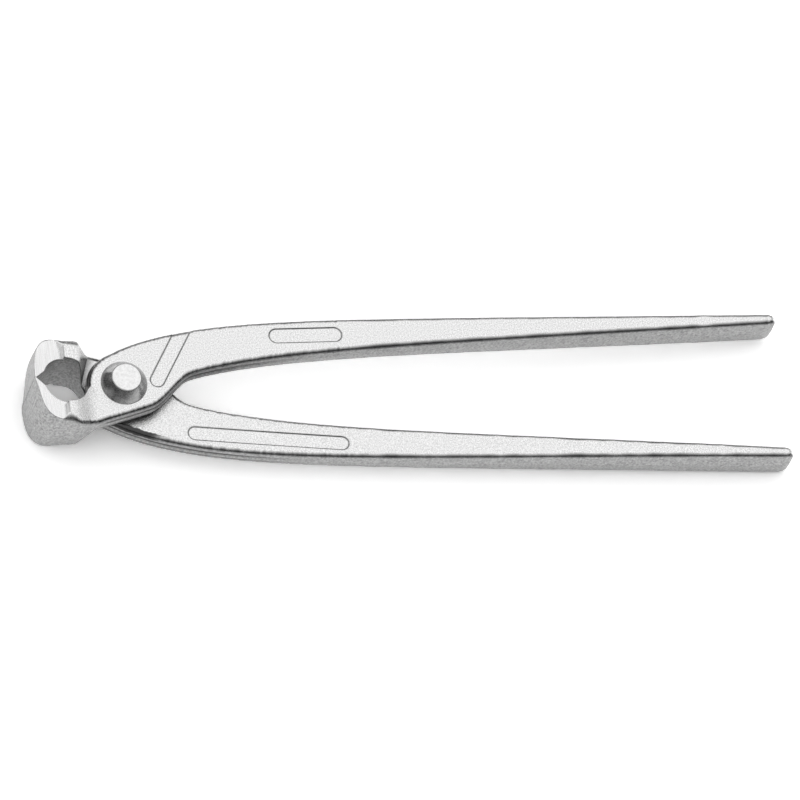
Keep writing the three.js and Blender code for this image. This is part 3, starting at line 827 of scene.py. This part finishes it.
def steel(name, tones, rough, scale, bump, strokes=(1, 1, 1), has_painted_shade=False):
    """Metal whose colour and roughness follow a noise, with a bump from the same noise, and its colour
    darkened by painted shade where asked.
    """
    material = bpy.data.materials.new(name)
    material.use_nodes = True
    nodes, links = material.node_tree.nodes, material.node_tree.links
    shader = nodes["Principled BSDF"]
    shader.inputs["Metallic"].default_value = 1
    place = nodes.new("ShaderNodeTexCoord")
    mapping = nodes.new("ShaderNodeMapping")
    mapping.inputs["Scale"].default_value = strokes
    links.new(place.outputs["Object"], mapping.inputs["Vector"])
    grain = nodes.new("ShaderNodeTexNoise")
    grain.inputs["Scale"].default_value = scale
    grain.inputs["Detail"].default_value = GRAIN_DETAIL
    grain.inputs["Roughness"].default_value = GRAIN_ROUGHNESS
    links.new(mapping.outputs["Vector"], grain.inputs["Vector"])
    tint = nodes.new("ShaderNodeValToRGB")
    for element, position, tone in zip(tint.color_ramp.elements, SPECK, tones):
        element.position, element.color = position, grey(tone)
    links.new(grain.outputs["Fac"], tint.inputs["Fac"])
    color = tint.outputs["Color"]
    # painted shade: the mesh's shade attribute mixes the colour towards a near-black grey
    if has_painted_shade:
        shade_attribute = nodes.new("ShaderNodeAttribute")
        shade_attribute.attribute_name = "painted_shade"
        darken = nodes.new("ShaderNodeMix")
        darken.data_type = "RGBA"
        darken.inputs["B"].default_value = grey(PAINTED_SHADE_TONE)
        links.new(shade_attribute.outputs["Fac"], darken.inputs["Factor"])
        links.new(color, darken.inputs["A"])
        color = darken.outputs["Result"]
    links.new(color, shader.inputs["Base Color"])
    gloss = nodes.new("ShaderNodeMapRange")
    gloss.inputs["To Min"].default_value, gloss.inputs["To Max"].default_value = rough
    links.new(grain.outputs["Fac"], gloss.inputs["Value"])
    links.new(gloss.outputs["Result"], shader.inputs["Roughness"])
    relief = nodes.new("ShaderNodeBump")
    relief.inputs["Strength"].default_value = bump
    relief.inputs["Distance"].default_value = GRAIN_RELIEF
    links.new(grain.outputs["Fac"], relief.inputs["Height"])
    links.new(relief.outputs["Normal"], shader.inputs["Normal"])
    return material


# painted shade darkens the forged skin, the ground jaw and the trimmed walls
lever_finishes = (
    steel("forged_skin", tones=(0.62, 0.88), rough=(0.1, 0.16), scale=2600, bump=0.8, has_painted_shade=True),
    steel(
        "ground_jaw", tones=(0.74, 0.88), rough=(0.22, 0.32), scale=900, bump=0.25,
        strokes=BELT_STROKES, has_painted_shade=True,
    ),
    steel("eye_wall", tones=(0.34, 0.7), rough=(0.4, 0.55), scale=1300, bump=1.0),
    # the darker colour of the trimmed walls is partly painted shade of the sides
    steel("trimmed_and_shaded_wall", tones=(0.25, 0.52), rough=(0.42, 0.55), scale=1500, bump=0.9, has_painted_shade=True),
)
rivet_finishes = (
    steel("rivet_flat", tones=(0.72, 0.86), rough=(0.2, 0.28), scale=900, bump=0.15),
    steel("rivet_cone", tones=(0.3, 0.44), rough=(0.24, 0.3), scale=900, bump=0.15),
)
for lever in (front_lever, rear_lever):
    for material in lever_finishes:
        lever.data.materials.append(material)
for material in rivet_finishes:
    rivet.data.materials.append(material)
print("finishes:", [material.name for material in lever_finishes + rivet_finishes])

# %% [markdown]
# ## Floor
# The tool lies on its rear side. It touches the floor with the rivet's rear flat and the handle tips, so
# the real tool lies a degree out of level. The tool stays level here, as the frame has it, and the floor is
# tilted to meet it instead. A bright shader without shadows would be whiter, but the shadow is what sets the
# tool down, so the paper is plain and matt, and only whiter where it is seen or mirrored.

# %% Floor
FLOOR_HALF = 4.0
PAPER, PAPER_SEEN = 0.85, 1.5  # as it lights the tool, and as it is seen or mirrored
TIP_SINK, REST_GAP = 0.1, 0.02  # the tip presses into the paper a little, and the rivet just clears it
REST_X = FLAT_RADIUS
TIP_UNDERSIDE = LAP_LIFT - FLAT_Z
floor_slope = (TIP_UNDERSIDE + TIP_SINK) / (HANDLE_REACH - TIP_ROUND - REST_X)


def floor_height(x):
    """Height in metres of the floor under x metres: a plane through the rivet flat and the handle tips."""
    return floor_slope * (x - REST_X * MM) - REST_GAP * MM


floor_mesh = bpy.data.meshes.new("floor")
sides = (-FLOOR_HALF, FLOOR_HALF)
floor_mesh.from_pydata([(x, y, floor_height(x)) for x in sides for y in sides], [], [(0, 2, 3, 1)])
floor = bpy.data.objects.new("floor", floor_mesh)
bpy.context.scene.collection.objects.link(floor)
paper = bpy.data.materials.new("white_paper")
paper.use_nodes = True
nodes, links = paper.node_tree.nodes, paper.node_tree.links
nodes.remove(nodes["Principled BSDF"])
matt = nodes.new("ShaderNodeBsdfDiffuse")
seen = nodes.new("ShaderNodeLightPath")
white = nodes.new("ShaderNodeMix")
white.data_type = "RGBA"
white.inputs["A"].default_value = grey(PAPER)
white.inputs["B"].default_value = grey(PAPER_SEEN)
shown = nodes.new("ShaderNodeMath")
shown.operation = "MAXIMUM"
links.new(seen.outputs["Is Camera Ray"], shown.inputs[0])
links.new(seen.outputs["Is Glossy Ray"], shown.inputs[1])
links.new(shown.outputs["Value"], white.inputs["Factor"])
links.new(white.outputs["Result"], matt.inputs["Color"])
links.new(matt.outputs["BSDF"], nodes["Material Output"].inputs["Surface"])
floor_mesh.materials.append(paper)
print("floor tilted by", round(math.degrees(math.atan(floor_slope)), 2), "degrees")

# %% [markdown]
# ## Camera
# The photograph looks down on the tool at 60 degrees, from a long way off, with the picture turned so that
# the handles lie level in it. A Track To constraint could aim the camera, but it wouldn't give the turn. So
# the camera's three axes are worked out from those angles, and its place from the point it looks at.

# %% Camera
VIEW_AZIMUTH, VIEW_ELEVATION, VIEW_ROLL = (math.radians(angle) for angle in (-30.1, 59.99, 26.67))
VIEW_DISTANCE = 2600 * MM
AIM_RIGHT, AIM_UP = 78.72 * MM, -1.99 * MM
FOCAL_PIXELS, FRAME_PIXELS = 9257.7, 800
SENSOR_WIDTH = 36
VIEW_END = 20

towards = Vector((
    math.sin(VIEW_AZIMUTH) * math.cos(VIEW_ELEVATION),
    -math.cos(VIEW_AZIMUTH) * math.cos(VIEW_ELEVATION),
    math.sin(VIEW_ELEVATION),
))
level = Vector((math.cos(VIEW_AZIMUTH), math.sin(VIEW_AZIMUTH), 0))
upright = towards.cross(level)
right = level * math.cos(VIEW_ROLL) + upright * math.sin(VIEW_ROLL)
up = upright * math.cos(VIEW_ROLL) - level * math.sin(VIEW_ROLL)
eye_point = right * AIM_RIGHT + up * AIM_UP + towards * VIEW_DISTANCE + Vector((0, 0, LAP_LIFT * MM))
lens = bpy.data.cameras.new("photo_camera")
lens.sensor_width = SENSOR_WIDTH
lens.lens = FOCAL_PIXELS * SENSOR_WIDTH / FRAME_PIXELS
lens.clip_end = VIEW_END
camera = bpy.data.objects.new("photo_camera", lens)
camera.matrix_world = Matrix.Translation(eye_point) @ Matrix((right, up, towards)).transposed().to_4x4()
bpy.context.scene.collection.objects.link(camera)
bpy.context.scene.camera = camera
print("camera at", [round(value, 3) for value in eye_point], "with a lens of", round(lens.lens, 1), "mm")

# %% [markdown]
# ## Light
# A tool like this is photographed in a white tent. The world stands for the tent: white overhead and on the
# walls, dim round their foot, and darkest low on the near side, where the tent is open to the photographer.
# Flat faces then shine, the sides that face the viewer stay darker, and the shadow lies close. Area lights
# could do it too, but their edges would show in the metal, and a formula of the direction has none.

# %% World
TENT_OVERHEAD, TENT_SIDES, TENT_FOOT, TENT_OPENING = 1.1, 0.95, 0.2, 0.06
FOOT_TOP = (0.2, 0.5)  # sine of the elevation over which the foot of the walls turns light
OPENING_TOP = (0.4, 0.65)  # sine of the elevation where the opening ends, and where the roof is at its full
OPENING_AZIMUTH = math.radians(-6.6)  # the side that is downwards in the picture
OPENING_SIDES = (-0.12, 0.1)  # how far round to the sides it reaches, along the viewing direction

world = bpy.data.worlds.new("light_tent")
bpy.context.scene.world = world
world.use_nodes = True
nodes, links = world.node_tree.nodes, world.node_tree.links
direction = nodes.new("ShaderNodeTexCoord")


def world_share(axis, limits):
    """Share from 0 to 1 of how far a direction points along an axis, eased between two limits."""
    along = nodes.new("ShaderNodeVectorMath")
    along.operation = "DOT_PRODUCT"
    along.inputs[1].default_value = axis
    links.new(direction.outputs["Generated"], along.inputs[0])
    share = nodes.new("ShaderNodeMapRange")
    share.interpolation_type = "SMOOTHSTEP"
    share.inputs["From Min"].default_value, share.inputs["From Max"].default_value = limits
    links.new(along.outputs["Value"], share.inputs["Value"])
    return share.outputs["Result"]


def blend_light(share, low, high):
    """Mix of two light levels by a share, each a number or a socket."""
    mix = nodes.new("ShaderNodeMix")
    links.new(share, mix.inputs["Factor"])
    for name, value in (("A", low), ("B", high)):
        if isinstance(value, float):
            mix.inputs[name].default_value = value
        else:
            links.new(value, mix.inputs[name])
    return mix.outputs["Result"]


near_axis = (math.sin(OPENING_AZIMUTH), -math.cos(OPENING_AZIMUTH), 0)
far_walls = blend_light(world_share((0, 0, 1), FOOT_TOP), TENT_FOOT, TENT_SIDES)
walls = blend_light(world_share(near_axis, OPENING_SIDES), far_walls, TENT_OPENING)
tent = blend_light(world_share((0, 0, 1), OPENING_TOP), walls, TENT_OVERHEAD)
nodes["Background"].inputs["Color"].default_value = (1, 1, 1, 1)
links.new(tent, nodes["Background"].inputs["Strength"])
bpy.context.scene.view_settings.view_transform = "Standard"
print("tent light:", TENT_OVERHEAD, "overhead,", TENT_SIDES, "on the walls,", TENT_OPENING, "at the opening")
